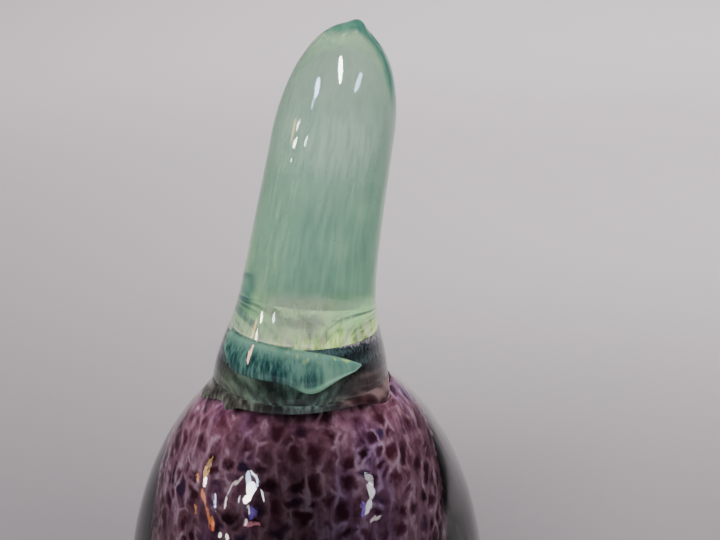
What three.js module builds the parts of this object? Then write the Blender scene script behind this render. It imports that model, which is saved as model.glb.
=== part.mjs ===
// Art glass eggplant: a solid, cased glass ornament that stands on a ground flat base.
// A clear heart carries a coat of purple frit, a thick clear casing covers both, and on the crown
// sit a green calyx, a clear foot, a green stem that leans to one side, and the lap of its root.
// Millimetres, +Z up. The origin is the centre of the ground base, and the stem leans towards +X.
import * as THREE from "three";
import { mergeVertices } from "three/addons/utils/BufferGeometryUtils.js";

// The body's outside.
const bellyRadius = 44;
const bellyHeight = 55; // from the base to the widest level
const shoulderRise = 60.2; // from the widest level to the crown
const crownRadius = 20.6; // of the flat that the calyx lies on
const baseRadius = 23.7; // of the ground flat
const baseBevel = 0.8;
const shoulderFullness = 2.13; // 2 is an ellipse, and more is squarer
const bowlFullness = 2.3;

// The coloured egg inside the casing.
const casingWall = 19.7; // at the widest level, on average
const casingFloor = 15;
const eggOffset = -1.3; // along X, so the casing is thinner on one side
const crownWall = 4; // of clear glass round the egg at the crown
const eggFullness = 5.5;
const fritThickness = 1.2;
const seam = 0.3; // left between curved faces that are fused on the real piece

// The calyx, a cookie of green glass with its edge pulled into points.
const calyxThickness = 1.5;
const calyxEdge = 0.9;
const calyxOverhang = 0.6; // past the crown's flat
const leafReach = 4.4; // of the long point
const leafAngle = 184; // its bearing, in degrees
const leafSpreadAngle = 17;
const barbReach = 2.9; // of the short point beside it
const barbAngle = 219;
const barbSpreadAngle = 8;

// The clear foot and the green stem share one outline.
const footHeight = 12.6;
const footRoll = 0.6; // rounding of the foot's lower edge
const footOverhang = 0.3; // past the crown's flat
const stemHeight = 71.5; // from the foot to the rounded tip
const stemEndRadius = 14.2; // where the rounded end begins
const stemTaper = 0.043; // radius lost for each millimetre of height
const stemEndLength = 27.8; // of the half-ellipse at the top
const flareHeight = 10.4; // from the calyx to the middle of the root's flare
const flareSoftness = 4.2;
const rootOffset = -1.1; // the root's centre along X
const stemLean = 11.5; // from the root's centre to the tip's, along X

// The sheared tail at the stem's tip: a beak with a notch beside it.
const beakOffset = 2.2;
const beakHeight = 1.4;
const beakWidth = 2.2;
const notchOffset = 5.8;
const notchDepth = 1.9;
const notchWidth = 1.7;

// The lap, a tongue of green glass folded round the root.
const lapStartAngle = 204; // bearing of its blunt end, in degrees
const lapSweepAngle = 112; // to its point
const lapSlantAngle = 12; // of the blunt end, its top away from the point
const lapHalfHeight = 4.4;
const lapBluntShare = 0.08; // of its length, taken by the blunt end
const lapMiddle = 10.1; // above the calyx
const lapDrop = 2.5; // from the blunt end's middle to the point
const lipDrop = 2.7; // of the lower edge, where it hangs as a lip
const lipShare = 0.67; // of the lap's length, from the blunt end to the lip
const lipSpreadShare = 0.14;
const lapThickness = 1.2;
const lapEdge = 0.35;

// How finely round shapes are cut.
const turns = 40;
const profileSteps = 10;
const stemSteps = 14;
const endSteps = 12;
const weldDistance = 0.001;

const crownHeight = bellyHeight + shoulderRise;
const footBottom = crownHeight + calyxThickness;
const stemBottom = footBottom + footHeight;
const stemTop = stemBottom + stemHeight;

const degrees = Math.PI / 180;
const mix = (a, b, share) => a + (b - a) * share;
const smooth = (share) => {
  const s = Math.min(1, Math.max(0, share));
  return s * s * (3 - 2 * s);
};
const bell = (distance, width) => Math.exp(-((distance / width) ** 2));

// A quarter of a superellipse that leaves the belly upright and passes through endRadius at span.
// Gives [radius, distance from the belly] pairs, from the belly to the end.
function swell(belly, endRadius, span, fullness) {
  const reach = span / (1 - (endRadius / belly) ** fullness) ** (1 / fullness);
  const lastAngle = Math.asin(Math.min(1, span / reach));
  return Array.from({ length: profileSteps + 1 }, (_, i) => {
    const distance = reach * Math.sin((lastAngle * i) / profileSteps);
    const left = Math.max(0, 1 - (distance / reach) ** fullness);
    return [i === profileSteps ? endRadius : belly * left ** (1 / fullness), distance];
  });
}

// Height of the body's outside at a radius between the crown and the belly.
function shoulderHeight(radius) {
  const reach = shoulderRise / (1 - (crownRadius / bellyRadius) ** shoulderFullness) ** (1 / shoulderFullness);
  const left = Math.max(0, 1 - (radius / bellyRadius) ** shoulderFullness);
  return bellyHeight + reach * left ** (1 / shoulderFullness);
}

// A closed solid from a grid of rows. The last column joins the first, and each end row folds shut.
function gridSolid(rows) {
  const columns = rows[0].length;
  const faces = [];
  for (let i = 0; i + 1 < rows.length; i++) {
    for (let j = 0; j < columns; j++) {
      const a = i * columns + j;
      const b = i * columns + ((j + 1) % columns);
      faces.push(a, b, b + columns, a, b + columns, a + columns);
    }
  }
  const geometry = new THREE.BufferGeometry();
  geometry.setAttribute("position", new THREE.Float32BufferAttribute(rows.flat(2), 3));
  geometry.setIndex(faces);
  return mergeVertices(geometry, weldDistance);
}

// A ring of points about a centre that is shifted along X.
function ring(radius, height, shift) {
  return Array.from({ length: turns }, (_, j) => {
    const bearing = ((j * 360) / turns) * degrees;
    return [shift + radius * Math.cos(bearing), radius * Math.sin(bearing), height];
  });
}

// Rings from [radius, height] pairs, which start and end on the axis. shiftAt gives each ring's shift.
const turned = (profile, shiftAt = () => 0) => profile.map(([radius, height]) => ring(radius, height, shiftAt(height)));

// The egg's outline, from the axis at the bottom to its mouth at the crown, drawn in by inset.
function eggOutline(inset) {
  const belly = bellyRadius - casingWall - inset;
  const mouth = crownRadius - crownWall - inset;
  const depth = bellyHeight - casingFloor - inset;
  const lower = swell(belly, 0, depth, 2).map(([r, d]) => [r, bellyHeight - d]).reverse();
  const upper = swell(belly, mouth, shoulderRise, eggFullness).map(([r, d]) => [r, bellyHeight + d]);
  return [...lower, ...upper.slice(1)];
}

function casing() {
  const bowl = swell(bellyRadius, baseRadius, bellyHeight - baseBevel, bowlFullness);
  const outside = [
    [0, 0],
    [baseRadius - baseBevel, 0],
    ...bowl.map(([r, d]) => [r, bellyHeight - d]).reverse(),
    ...swell(bellyRadius, crownRadius, shoulderRise, shoulderFullness)
      .map(([r, d]) => [r, bellyHeight + d])
      .slice(1),
  ];
  return gridSolid([...turned(outside), ...turned(eggOutline(0).reverse(), () => eggOffset)]);
}

function fritCoat() {
  const shell = [...eggOutline(seam), ...eggOutline(seam + fritThickness).reverse()];
  return gridSolid(turned(shell, () => eggOffset));
}

function heart() {
  return gridSolid(turned([...eggOutline(2 * seam + fritThickness), [0, crownHeight]], () => eggOffset));
}

// Radius of the foot and stem at a height, without the rounded end. The flare fades with height.
function rootRadius(height) {
  const plain = (level) => stemEndRadius + stemTaper * (stemTop - stemEndLength - level);
  const flare = (level) => 1 / (1 + Math.exp((level - footBottom - flareHeight) / flareSoftness));
  const gain = crownRadius + footOverhang - plain(footBottom);
  return plain(height) + (gain * flare(height)) / flare(footBottom);
}

// How far the foot and stem lean along X at a height: slowly at the root, and slowly again at the tip.
function leanAt(height) {
  const share = (height - footBottom) / (stemTop - footBottom);
  return rootOffset + stemLean * (0.3 * share + 1.7 * share ** 2 - share ** 3);
}

function foot() {
  const rollSteps = 4;
  const wallSteps = 6;
  const rollTop = footBottom + footRoll;
  const outline = [[0, footBottom]];
  for (let i = 0; i <= rollSteps; i++) {
    const angle = (i / rollSteps) * 90 * degrees;
    outline.push([rootRadius(rollTop) - footRoll * (1 - Math.sin(angle)), rollTop - footRoll * Math.cos(angle)]);
  }
  for (let i = 1; i <= wallSteps; i++) {
    const height = mix(rollTop, stemBottom, i / wallSteps);
    outline.push([rootRadius(height), height]);
  }
  return gridSolid(turned([...outline, [0, stemBottom]], leanAt));
}

// The stem's end is pinched off: a beak stands on the leaning side, with a notch beside it.
function pinched([x, y, height]) {
  if (height < stemTop - stemEndLength / 2) return [x, y, height];
  const beak = bell(Math.hypot(x - leanAt(stemTop) - beakOffset, y), beakWidth);
  const notch = bell(Math.hypot(x - leanAt(stemTop) - notchOffset, y), notchWidth);
  return [x, y, height + beakHeight * beak - notchDepth * notch];
}

function stem() {
  const outline = [[0, stemBottom]];
  const endBottom = stemTop - stemEndLength;
  for (let i = 0; i <= stemSteps; i++) {
    const height = mix(stemBottom, endBottom, i / stemSteps);
    outline.push([rootRadius(height), height]);
  }
  for (let i = 1; i < endSteps; i++) {
    const angle = (i / endSteps) * 90 * degrees;
    outline.push([rootRadius(endBottom) * Math.cos(angle), endBottom + stemEndLength * Math.sin(angle)]);
  }
  return gridSolid(turned([...outline, [0, stemTop]], leanAt).map((points) => points.map(pinched)));
}

// How far the calyx reaches from the axis at a bearing in degrees.
function calyxReach(bearing) {
  const away = (other) => ((bearing - other + 540) % 360) - 180;
  const leaf = leafReach * bell(away(leafAngle), leafSpreadAngle);
  const barb = barbReach * bell(away(barbAngle), barbSpreadAngle);
  return crownRadius + calyxOverhang + leaf + barb;
}

function calyx() {
  const flatRadius = rootRadius(footBottom + footRoll) - footRoll;
  const slopeSteps = 3;
  const level = (step, above) =>
    Array.from({ length: turns }, (_, j) => {
      const bearing = (j * 360) / turns;
      const reach = calyxReach(bearing);
      const inside = [0, flatRadius, crownRadius];
      const radius = inside[step] ?? mix(crownRadius, reach, (step - 2) / slopeSteps);
      const bottom = radius > crownRadius ? shoulderHeight(radius) + seam : crownHeight;
      const thinning = smooth((radius - flatRadius) / (reach - flatRadius));
      const height = bottom + (above ? mix(calyxThickness, calyxEdge, thinning) : 0);
      return [radius * Math.cos(bearing * degrees), radius * Math.sin(bearing * degrees), height];
    });
  const rows = [];
  for (let step = 0; step <= 2 + slopeSteps; step++) rows.push(level(step, false));
  for (let step = 2 + slopeSteps; step >= 0; step--) rows.push(level(step, true));
  return gridSolid(rows);
}

// Half the lap's height at a share of its length: a blunt end, then a long taper to the point.
function lapSpread(share) {
  if (share < lapBluntShare) return lapHalfHeight * Math.sqrt(1 - (1 - share / lapBluntShare) ** 2);
  return lapHalfHeight * (1 - ((share - lapBluntShare) / (1 - lapBluntShare)) ** 4);
}

function lap() {
  const sections = 22;
  const across = 5;
  const rows = [];
  for (let i = 0; i <= sections; i++) {
    const share = i / sections;
    const middle = footBottom + lapMiddle - lapDrop * share ** 2.5;
    const fullness = lapSpread(share) / lapHalfHeight;
    const lip = lipDrop * bell(share - lipShare, lipSpreadShare) * fullness;
    const row = [];
    const point = (side, outer) => {
      const slant = lapSlantAngle * side * fullness * (1 - share);
      const bearing = (lapStartAngle + lapSweepAngle * share - slant) * degrees;
      const height = middle + lapSpread(share) * side - (lip * (1 - side)) / 2;
      const taper = Math.sqrt(Math.max(0, 1 - side ** 2)) * Math.min(1, lapSpread(share) / lapThickness);
      const out = outer ? mix(lapEdge, lapThickness, taper) : 0;
      const radius = rootRadius(height) + seam + out;
      row.push([leanAt(height) + radius * Math.cos(bearing), radius * Math.sin(bearing), height]);
    };
    for (let j = across; j >= -across; j--) point(j / across, true);
    for (let j = -across; j <= across; j++) point(j / across, false);
    rows.push(row);
  }
  return gridSolid(rows);
}

function piece(name, geometry, color, roughness) {
  const mesh = new THREE.Mesh(geometry, new THREE.MeshStandardMaterial({ color, roughness, metalness: 0 }));
  mesh.name = name;
  return mesh;
}

const eggplant = new THREE.Group();
eggplant.add(
  piece("clear_heart", heart(), "#e3e8e8", 0.04),
  piece("frit_coat", fritCoat(), "#5b2c48", 0.25),
  piece("clear_casing", casing(), "#d9dfdf", 0.03),
  piece("calyx", calyx(), "#35483f", 0.06),
  piece("clear_foot", foot(), "#ccd6d2", 0.03),
  piece("stem", stem(), "#8fb8a4", 0.03),
  piece("stem_lap", lap(), "#62a08a", 0.05),
);

export default eggplant;
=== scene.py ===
# Art glass eggplant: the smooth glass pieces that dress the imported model, with light and camera.
import math

import bpy
import numpy as np
from mathutils import Euler, Matrix, Vector


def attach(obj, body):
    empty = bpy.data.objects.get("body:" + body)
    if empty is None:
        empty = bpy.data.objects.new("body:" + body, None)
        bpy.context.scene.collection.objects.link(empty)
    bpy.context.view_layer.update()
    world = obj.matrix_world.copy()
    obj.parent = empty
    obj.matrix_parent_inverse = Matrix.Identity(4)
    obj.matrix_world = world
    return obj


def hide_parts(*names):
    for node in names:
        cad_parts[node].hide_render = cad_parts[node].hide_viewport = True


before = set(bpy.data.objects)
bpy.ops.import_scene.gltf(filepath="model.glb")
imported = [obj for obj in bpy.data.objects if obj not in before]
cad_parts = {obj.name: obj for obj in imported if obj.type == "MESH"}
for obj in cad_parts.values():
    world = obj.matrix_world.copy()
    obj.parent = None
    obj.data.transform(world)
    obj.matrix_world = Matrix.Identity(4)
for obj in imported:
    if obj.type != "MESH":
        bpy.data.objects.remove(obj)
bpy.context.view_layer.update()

MM = 0.001
TURN = 2 * math.pi

# The body's outside.
BELLY_RADIUS = 44 * MM
BELLY_HEIGHT = 55 * MM
SHOULDER_RISE = 60.2 * MM
CROWN_RADIUS = 20.6 * MM
BASE_RADIUS = 23.7 * MM
BASE_BEVEL = 0.8 * MM
SHOULDER_FULLNESS = 2.13
BOWL_FULLNESS = 2.3
CROWN_HEIGHT = BELLY_HEIGHT + SHOULDER_RISE
CROWN_SHARE = (1 - (CROWN_RADIUS / BELLY_RADIUS) ** SHOULDER_FULLNESS) ** (1 / SHOULDER_FULLNESS)
SHOULDER_REACH = SHOULDER_RISE / CROWN_SHARE

# The coloured egg inside it.
CASING_WALL = 19.7 * MM
CASING_FLOOR = 15 * MM
CROWN_WALL = 4 * MM
EGG_OFFSET = -1.3 * MM
EGG_FULLNESS = 5.5
FRIT_THICKNESS = 1.2 * MM
SEAM = 0.3 * MM

# The calyx. A leaf's bearing runs from +X towards +Y, and its spread is a bell's width.
CALYX_THICKNESS = 1.5 * MM
CALYX_EDGE = 0.75 * MM
CALYX_ROUND = 0.3 * MM
CALYX_FILLET = 0.7 * MM
CALYX_OVERHANG = 0.15 * MM
CALYX_CLEARANCE = SEAM * 0.4
LEAF_BEARINGS = np.radians([184, 219, 330])
LEAF_REACHES = np.array([2.9, 1.2, 2.2]) * MM
LEAF_SPREADS = np.radians([15, 5, 15])

# The foot and the stem.
FOOT_BOTTOM = CROWN_HEIGHT + CALYX_THICKNESS
FOOT_HEIGHT = 12.6 * MM
FOOT_ROLL = 0.6 * MM
FOOT_OVERHANG = 0.3 * MM
STEM_BOTTOM = FOOT_BOTTOM + FOOT_HEIGHT
STEM_HEIGHT = 71.5 * MM
STEM_TOP = STEM_BOTTOM + STEM_HEIGHT
STEM_END_RADIUS = 14.2 * MM
STEM_END_LENGTH = 27.8 * MM
STEM_END_BOTTOM = STEM_TOP - STEM_END_LENGTH
STEM_TAPER = 0.043
FLARE_HEIGHT = 10.4 * MM
FLARE_SOFTNESS = 4.2 * MM
ROOT_OFFSET = -1.1 * MM
STEM_LEAN = 11.5 * MM
LEAN_AT_ROOT = 0.3
BEAK_OFFSET = 2.8 * MM
BEAK_HEIGHT = 1.3 * MM
BEAK_WIDTH = 2.4 * MM
NOTCH_OFFSET = 6.0 * MM
NOTCH_DEPTH = 2.1 * MM
NOTCH_WIDTH = 1.7 * MM

# Two fused flat faces lie a gap apart. A wall has its last ring but one a step from its flat end.
JOINT_GAP = 0.02 * MM
JOINT_STEP = 0.04 * MM

# The lap. Its shares run from the blunt end, 0, to the point, 1.
LAP_START = math.radians(204)
LAP_SWEEP = math.radians(112)
LAP_SLANT = math.radians(12)
LAP_HALF_HEIGHT = 4.1 * MM
LAP_BLUNT_SHARE = 0.08
LAP_MIDDLE = 9.8 * MM
LAP_DROP = 2.2 * MM
LAP_THICKNESS = 1.2 * MM
LAP_EDGE = 0.35 * MM
LAP_BULGE = 0.9
LAP_CLEARANCE = SEAM * 0.2
LIP_DROP = 2.7 * MM
LIP_SHARE = 0.64
LIP_SPREAD = 0.14
ROLLED_FROM = 0.5
ROLLED_FULLY = 0.7
ROLLED_SIDE = -0.8
ROLLED_SPREAD = 0.22

# How fine the meshes are: columns round a piece, and rings along each stretch of its outline.
COLUMNS = 192
BEVEL_RINGS = 6
BOWL_RINGS = 90
SHOULDER_RINGS = 100
EGG_RINGS = 90
ROLL_RINGS = 9
FOOT_RINGS = 24
STEM_RINGS = 80
CALYX_RIM_RINGS = 14
CALYX_CLIMB_RINGS = 18
LAP_RINGS = 110
LAP_SIDE_POINTS = 33

# The glass and its patterns: chips to a metre, the teal thread, and soft spots with their reach.
CLEAR_TINT = (0.97, 0.985, 0.975)
GLASS_INDEX = 1.5
CHIP_SCALE = 250.0
THREAD_BEARING = math.radians(-10)
THREAD_WIDTH = 5 * MM
NIB_SPOT = (-1.5 * MM, 0.0, STEM_TOP)
NIB_REACH = (8.5 * MM, 8 * MM, 3.4 * MM)
# A pale milky patch on the front of the stem, which is partly a painted highlight.
MILKY_HIGHLIGHT_SPOT = (2 * MM, -12 * MM, STEM_BOTTOM + 47 * MM)
MILKY_HIGHLIGHT_REACH = (12 * MM, 22 * MM, 10 * MM)
# A painted reflection: the grey of the backdrop, low on the front of the stem.
GREY_REFLECTION_SPOT = (-1 * MM, -14 * MM, STEM_BOTTOM + 7 * MM)
GREY_REFLECTION_REACH = (12 * MM, 9 * MM, 7 * MM)
DARK_SPOT = (-15 * MM, -7 * MM, STEM_BOTTOM + 11 * MM)
DARK_REACH = (5 * MM, 7 * MM, 7 * MM)

# The camera, the point that lamps aim at, and how far off the lamps behind bright spots are.
CAMERA_SEAT = (13.1 * MM, -378.9 * MM, BELLY_HEIGHT + 210.8 * MM)
CAMERA_PITCH = math.radians(18)
CENTRE = (0, 0, 0.1)
GLINT_DISTANCE = 1.5


def smooth(share):
    """Three squares less two cubes of a share held between 0 and 1."""
    held = np.clip(share, 0, 1)
    return held * held * (3 - 2 * held)


def bell(distance, width):
    """The bell curve e to the minus (distance over width) squared."""
    return np.exp(-((distance / width) ** 2))


def quarter(rings):
    """Angles of a quarter turn in even steps."""
    return np.linspace(0, math.pi / 2, rings)


def swell(belly, end_radius, span, fullness, rings):
    """Radii and distances of a quarter superellipse, from the belly to end_radius at span.

    The radius is belly times (1 - (distance / reach) ^ fullness) ^ (1 / fullness).
    """
    reach = span / (1 - (end_radius / belly) ** fullness) ** (1 / fullness)
    angle = np.linspace(0, math.asin(min(1, span / reach)), rings)
    distance = reach * np.sin(angle)
    left = np.clip(1 - (distance / reach) ** fullness, 0, 1)
    radius = belly * left ** (1 / fullness)
    radius[-1] = end_radius
    return radius, distance


def root_radius(height):
    """Radius of foot and stem: a straight taper plus a flare that fades as a logistic curve."""
    def taper(level):
        """A straight line down from the end's radius."""
        return STEM_END_RADIUS + STEM_TAPER * (STEM_END_BOTTOM - level)

    def flare(level):
        """One over one plus e to the height above the flare's middle."""
        return 1 / (1 + np.exp((level - FOOT_BOTTOM - FLARE_HEIGHT) / FLARE_SOFTNESS))

    gain = CROWN_RADIUS + FOOT_OVERHANG - taper(FOOT_BOTTOM)
    return taper(height) + gain * flare(height) / flare(FOOT_BOTTOM)


def lean_at(height):
    """Shift along X of foot and stem: a cubic in the share of their height, whole at the top."""
    share = (height - FOOT_BOTTOM) / (STEM_TOP - FOOT_BOTTOM)
    bend = LEAN_AT_ROOT * share + (2 - LEAN_AT_ROOT) * share**2 - share**3
    return ROOT_OFFSET + STEM_LEAN * bend


def shoulder_height(radius):
    """Height of the shoulder at a radius, from the superellipse of the body's outside."""
    share = (1 - (radius / BELLY_RADIUS) ** SHOULDER_FULLNESS) ** (1 / SHOULDER_FULLNESS)
    return BELLY_HEIGHT + SHOULDER_REACH * share


def shoulder_radius(height):
    """Radius of the shoulder at a height, from the same superellipse."""
    share = (height - BELLY_HEIGHT) / SHOULDER_REACH
    return BELLY_RADIUS * (1 - share**SHOULDER_FULLNESS) ** (1 / SHOULDER_FULLNESS)


def axis_point(height, shift=0.0):
    """A point at a height on the body's axis, or on an axis shifted along X."""
    return np.array([shift, 0, height])


def ring_points(radius, height, shift=0.0):
    """Rows of points: each (radius, height) pair turned about an axis shifted along X."""
    angle = np.arange(COLUMNS) * TURN / COLUMNS
    radius = np.asarray(radius)[:, None]
    height = np.asarray(height)[:, None] + 0 * angle
    return np.stack([shift + radius * np.cos(angle), radius * np.sin(angle), height], axis=-1)


def leaned(rows):
    """The points shifted along X by the lean at each one's height."""
    shifted = rows.copy()
    shifted[..., 0] += lean_at(rows[..., 2])
    return shifted


def pinched(rows):
    """The stem's end raised by a bell at the beak and lowered by a bell at the notch."""
    tip = lean_at(STEM_TOP)
    high = smooth((rows[..., 2] - STEM_TOP + STEM_END_LENGTH / 2) / (STEM_END_LENGTH / 4))
    beak = bell(np.hypot(rows[..., 0] - tip - BEAK_OFFSET, rows[..., 1]), BEAK_WIDTH)
    notch = bell(np.hypot(rows[..., 0] - tip - NOTCH_OFFSET, rows[..., 1]), NOTCH_WIDTH)
    shifted = rows.copy()
    shifted[..., 2] += high * (BEAK_HEIGHT * beak - NOTCH_DEPTH * notch)
    return shifted


def skin_faces(count, columns):
    """Vertex numbers of the corners of bands between rows, then of a fan at each pole."""
    here = np.arange(columns)
    after = (here + 1) % columns
    band = np.arange(count - 1)[:, None] * columns
    quads = np.stack([band + here, band + after, band + after + columns, band + here + columns], -1)
    pole = np.full(columns, count * columns)
    last = (count - 1) * columns
    start_fan = np.stack([pole, after, here], -1)
    end_fan = np.stack([pole + 1, last + here, last + after], -1)
    corners = np.concatenate([quads.ravel(), start_fan.ravel(), end_fan.ravel()])
    sizes = np.repeat([4, 3], [(count - 1) * columns, 2 * columns])
    return corners, sizes


def skin_spread(count, columns):
    """The UV of each of those corners: its share of the way round and of the way along the rows."""
    here = np.arange(columns)
    level = np.arange(count)[:, None] / (count - 1)

    def corner(side, along):
        """Each column's place, or that of its next column where side is 1."""
        return np.stack(np.broadcast_arrays((here + side) / columns, along), -1)

    low = level[:-1]
    high = level[1:]
    quads = np.stack([corner(0, low), corner(1, low), corner(1, high), corner(0, high)], -2)
    start_fan = np.stack([corner(0.5, 0.0), corner(1, 0.0), corner(0, 0.0)], -2)
    end_fan = np.stack([corner(0.5, 1.0), corner(0, 1.0), corner(1, 1.0)], -2)
    return np.concatenate([part.reshape(-1, 2) for part in (quads, start_fan, end_fan)])


def skin_mesh(name, points, corners, sizes, flat):
    """A mesh of faces with so many corners each. The flat ones take the second material."""
    mesh = bpy.data.meshes.new(name)
    mesh.vertices.add(len(points))
    mesh.vertices.foreach_set("co", points.ravel())
    mesh.loops.add(len(corners))
    mesh.loops.foreach_set("vertex_index", corners)
    mesh.polygons.add(len(sizes))
    mesh.polygons.foreach_set("loop_start", np.cumsum(sizes) - sizes)
    mesh.polygons.foreach_set("use_smooth", ~flat)
    mesh.polygons.foreach_set("material_index", flat.astype(int))
    mesh.update(calc_edges=True)
    return mesh


def closed_skin(name, rows, start, end, cap_bands=(), drawn=None):
    """A mesh object from rows of points that join round, closed at a start pole and an end pole.

    Rows run so that (next column - column) x (next row - row) points outwards. A band has the
    number of its first row, the fan at the start is band -1, and the fan at the end has the number
    of rows. The cap bands are flat: they take the second material and aren't smoothed. Drawn holds
    where the points lay before they were bent, for the cords in the glass.
    """
    count, columns = rows.shape[:2]
    points = np.concatenate([rows.reshape(-1, 3), [start, end]])
    corners, sizes = skin_faces(count, columns)
    bands = np.append(np.arange(count - 1), [-1, count])
    flat = np.repeat(np.isin(bands, cap_bands), columns)
    mesh = skin_mesh(name, points, corners, sizes, flat)
    spread = skin_spread(count, columns)
    mesh.uv_layers.new(name="spread").data.foreach_set("uv", spread.ravel())
    if drawn is not None:
        poles = [drawn[0].mean(0), drawn[-1].mean(0)]
        straight = np.concatenate([drawn.reshape(-1, 3), poles])
        layer = mesh.attributes.new("drawn", "FLOAT_VECTOR", "POINT")
        layer.data.foreach_set("vector", straight.ravel())
    mesh.validate()
    piece = bpy.data.objects.new(name, mesh)
    bpy.context.collection.objects.link(piece)
    return piece


def casing_shape():
    """The body's outside turned about Z: base flat, bevel, bowl, shoulder and crown flat."""
    bowl_radius, drop = swell(BELLY_RADIUS, BASE_RADIUS, BELLY_HEIGHT - BASE_BEVEL, BOWL_FULLNESS,
                              BOWL_RINGS)
    rise_radius, rise = swell(BELLY_RADIUS, CROWN_RADIUS, SHOULDER_RISE, SHOULDER_FULLNESS,
                              SHOULDER_RINGS)
    bevel = quarter(BEVEL_RINGS)[:-1]
    radius = np.concatenate([
        [BASE_RADIUS * 0.3, BASE_RADIUS * 0.7, BASE_RADIUS * 0.9],
        BASE_RADIUS - BASE_BEVEL * (1 - np.sin(bevel)),
        bowl_radius[::-1],
        rise_radius[1:],
        [CROWN_RADIUS * 0.98, CROWN_RADIUS * 0.5],
    ])
    height = np.concatenate([
        [0, 0, 0],
        BASE_BEVEL * (1 - np.cos(bevel)),
        (BELLY_HEIGHT - drop)[::-1],
        (BELLY_HEIGHT + rise)[1:],
        [CROWN_HEIGHT, CROWN_HEIGHT],
    ])
    return closed_skin("clear_casing_glass", ring_points(radius, height), axis_point(0),
                       axis_point(CROWN_HEIGHT))


def egg_outline(inset):
    """Radii and heights up the coloured egg, drawn in by an inset, and its lower pole's height.

    It is an ellipse below its belly and a superellipse above it, up to the crown.
    """
    belly = BELLY_RADIUS - CASING_WALL - inset
    mouth = CROWN_RADIUS - CROWN_WALL - inset
    lower_radius, drop = swell(belly, 0, BELLY_HEIGHT - CASING_FLOOR - inset, 2, EGG_RINGS)
    upper_radius, rise = swell(belly, mouth, SHOULDER_RISE, EGG_FULLNESS, EGG_RINGS)
    radius = np.concatenate([lower_radius[-2::-1], upper_radius[1:]])
    height = np.concatenate([(BELLY_HEIGHT - drop)[-2::-1], (BELLY_HEIGHT + rise)[1:]])
    return radius, height, BELLY_HEIGHT - drop[-1]


def frit_shape():
    """The egg's outline out and back: a shell turned about Z, open at its mouth."""
    outer_radius, outer_height, outer_pole = egg_outline(SEAM)
    inner_radius, inner_height, inner_pole = egg_outline(SEAM + FRIT_THICKNESS)
    radius = np.concatenate([outer_radius, inner_radius[::-1]])
    height = np.concatenate([outer_height, inner_height[::-1]])
    return closed_skin("frit_coat_chips", ring_points(radius, height, EGG_OFFSET),
                       axis_point(outer_pole, EGG_OFFSET), axis_point(inner_pole, EGG_OFFSET))


def heart_shape():
    """The egg's inner outline turned about Z and closed flat at the crown."""
    radius, height, pole = egg_outline(2 * SEAM + FRIT_THICKNESS)
    return closed_skin("clear_heart_glass", ring_points(radius, height, EGG_OFFSET),
                       axis_point(pole, EGG_OFFSET), axis_point(CROWN_HEIGHT, EGG_OFFSET))


def foot_shape():
    """The foot's outline turned about Z and leaned: a rolled lower edge, then the flare.

    Its flat ends and its lower edge are fused to the calyx and the stem.
    """
    roll = quarter(ROLL_RINGS)
    roll_top = FOOT_BOTTOM + FOOT_ROLL
    top = STEM_BOTTOM - JOINT_GAP
    wall = np.append(np.linspace(roll_top, top - JOINT_STEP, FOOT_RINGS)[1:], top)
    edge = root_radius(roll_top) - FOOT_ROLL
    radius = np.concatenate([
        [edge * 0.4, edge * 0.9],
        edge + FOOT_ROLL * np.sin(roll),
        root_radius(wall),
        [root_radius(top) * 0.5],
    ])
    height = np.concatenate([
        [FOOT_BOTTOM, FOOT_BOTTOM],
        roll_top - FOOT_ROLL * np.cos(roll),
        wall,
        [top],
    ])
    straight = ring_points(radius, height)
    count = len(radius)
    caps = (*range(-1, ROLL_RINGS + 1), count - 2, count)
    return closed_skin("clear_foot_glass", leaned(straight), leaned(axis_point(FOOT_BOTTOM)),
                       leaned(axis_point(top)), caps, straight)


def stem_shape():
    """The stem's outline turned about Z, leaned and pinched: a taper, then a half-ellipse end."""
    wall = np.linspace(STEM_BOTTOM + JOINT_STEP, STEM_END_BOTTOM, STEM_RINGS)
    arc = quarter(STEM_RINGS)[1:-1]
    radius = np.concatenate([
        root_radius(STEM_BOTTOM) * np.array([0.5, 1]),
        root_radius(wall),
        root_radius(STEM_END_BOTTOM) * np.cos(arc),
    ])
    height = np.concatenate([
        [STEM_BOTTOM, STEM_BOTTOM],
        wall,
        STEM_END_BOTTOM + STEM_END_LENGTH * np.sin(arc),
    ])
    straight = ring_points(radius, height)
    return closed_skin("stem_glass", pinched(leaned(straight)), leaned(axis_point(STEM_BOTTOM)),
                       pinched(leaned(axis_point(STEM_TOP))), (-1, 0), straight)


def calyx_reach(angle):
    """How far the calyx reaches from the body's axis: the foot's circle plus a bell at each leaf.

    That circle stands off the axis by c, so it reaches c cos(a) + sqrt(R^2 - (c sin(a))^2).
    """
    shift = lean_at(FOOT_BOTTOM)
    circle = root_radius(FOOT_BOTTOM) + CALYX_OVERHANG
    off_leaf = (angle - LEAF_BEARINGS[:, None] + math.pi) % TURN - math.pi
    leaves = (LEAF_REACHES[:, None] * bell(off_leaf, LEAF_SPREADS[:, None])).sum(0)
    return shift * np.cos(angle) + np.sqrt(circle**2 - (shift * np.sin(angle)) ** 2) + leaves


def calyx_underside(angle, reach):
    """Rows out to the rim: flat on the crown, then just clear of the shoulder."""
    flat = np.minimum(CROWN_RADIUS, reach * 0.995)
    inner = flat * np.array([0.3, 0.7, 0.95, 1])[:, None]
    outer = flat + (reach - flat) * np.linspace(0, 1, CALYX_RIM_RINGS)[1:, None]
    radius = np.concatenate([inner, outer])
    on_shoulder = shoulder_height(radius) + CALYX_CLEARANCE
    past_crown = radius > CROWN_RADIUS * (1 + 1e-4)
    height = np.where(past_crown, on_shoulder, CROWN_HEIGHT)
    return np.stack([radius * np.cos(angle), radius * np.sin(angle), height], -1)


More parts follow.
